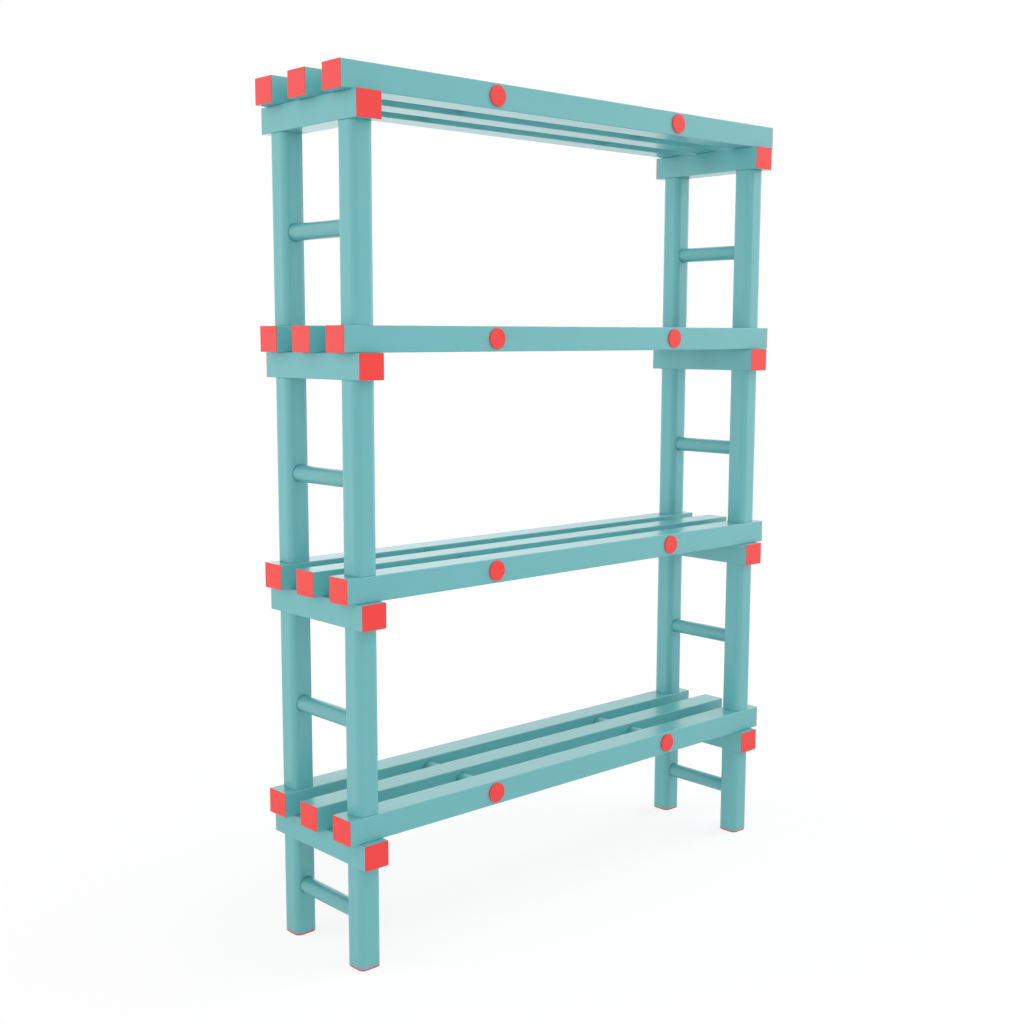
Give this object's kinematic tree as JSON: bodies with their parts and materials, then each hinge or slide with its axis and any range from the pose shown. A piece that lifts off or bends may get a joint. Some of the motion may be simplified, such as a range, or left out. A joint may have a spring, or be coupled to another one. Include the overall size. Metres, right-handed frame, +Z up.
{
  "type": "shelving unit",
  "caption": "Free-standing open rack of slatted decks on ladder end frames. Posts plug through each deck into the posts above, so every upper tier lifts off.",
  "frame": {"origin": "on the floor under the middle of the rack", "axes": "+Z up, +X along the shelves to the right as seen from the front, +Y from the front to the back"},
  "size_m": [1.2, 0.294, 1.638],
  "materials": {
    "teal_plastic": "satin",
    "red_plastic": "satin"
  },
  "bodies": {
    "base_tier": {"foot_cap_front_left": "red_plastic", "foot_cap_front_right": "red_plastic", "foot_cap_rear_left": "red_plastic", "foot_cap_rear_right": "red_plastic", "tier_1_slat_front": "teal_plastic", "tier_1_slat_middle": "teal_plastic", "tier_1_slat_rear": "teal_plastic", "tier_1_dowel_left": "teal_plastic", "tier_1_dowel_right": "teal_plastic", "tier_1_crossbar_left": "teal_plastic", "tier_1_crossbar_right": "teal_plastic", "tier_1_rung_left": "teal_plastic", "tier_1_rung_right": "teal_plastic", "tier_1_post_front_left": "teal_plastic", "tier_1_post_front_right": "teal_plastic", "tier_1_post_rear_left": "teal_plastic", "tier_1_post_rear_right": "teal_plastic"},
    "second_tier": {"tier_2_slat_front": "teal_plastic", "tier_2_slat_middle": "teal_plastic", "tier_2_slat_rear": "teal_plastic", "tier_2_dowel_left": "teal_plastic", "tier_2_dowel_right": "teal_plastic", "tier_2_crossbar_left": "teal_plastic", "tier_2_crossbar_right": "teal_plastic", "tier_2_rung_left": "teal_plastic", "tier_2_rung_right": "teal_plastic", "tier_2_post_front_left": "teal_plastic", "tier_2_post_front_right": "teal_plastic", "tier_2_post_rear_left": "teal_plastic", "tier_2_post_rear_right": "teal_plastic"},
    "third_tier": {"tier_3_slat_front": "teal_plastic", "tier_3_slat_middle": "teal_plastic", "tier_3_slat_rear": "teal_plastic", "tier_3_dowel_left": "teal_plastic", "tier_3_dowel_right": "teal_plastic", "tier_3_crossbar_left": "teal_plastic", "tier_3_crossbar_right": "teal_plastic", "tier_3_rung_left": "teal_plastic", "tier_3_rung_right": "teal_plastic", "tier_3_post_front_left": "teal_plastic", "tier_3_post_front_right": "teal_plastic", "tier_3_post_rear_left": "teal_plastic", "tier_3_post_rear_right": "teal_plastic"},
    "top_tier": {"tier_4_slat_front": "teal_plastic", "tier_4_slat_middle": "teal_plastic", "tier_4_slat_rear": "teal_plastic", "tier_4_dowel_left": "teal_plastic", "tier_4_dowel_right": "teal_plastic", "tier_4_crossbar_left": "teal_plastic", "tier_4_crossbar_right": "teal_plastic", "tier_4_rung_left": "teal_plastic", "tier_4_rung_right": "teal_plastic", "tier_4_post_front_left": "teal_plastic", "tier_4_post_front_right": "teal_plastic", "tier_4_post_rear_left": "teal_plastic", "tier_4_post_rear_right": "teal_plastic"}
  },
  "joints": [
    {"name": "second_tier_lift", "type": "slide", "parent": "base_tier", "child": "second_tier", "axis": [0, 0, 1], "range_m": [0, 0.045]},
    {"name": "third_tier_lift", "type": "slide", "parent": "second_tier", "child": "third_tier", "axis": [0, 0, 1], "range_m": [0, 0.045]},
    {"name": "top_tier_lift", "type": "slide", "parent": "third_tier", "child": "top_tier", "axis": [0, 0, 1], "range_m": [0, 0.045]}
  ]
}
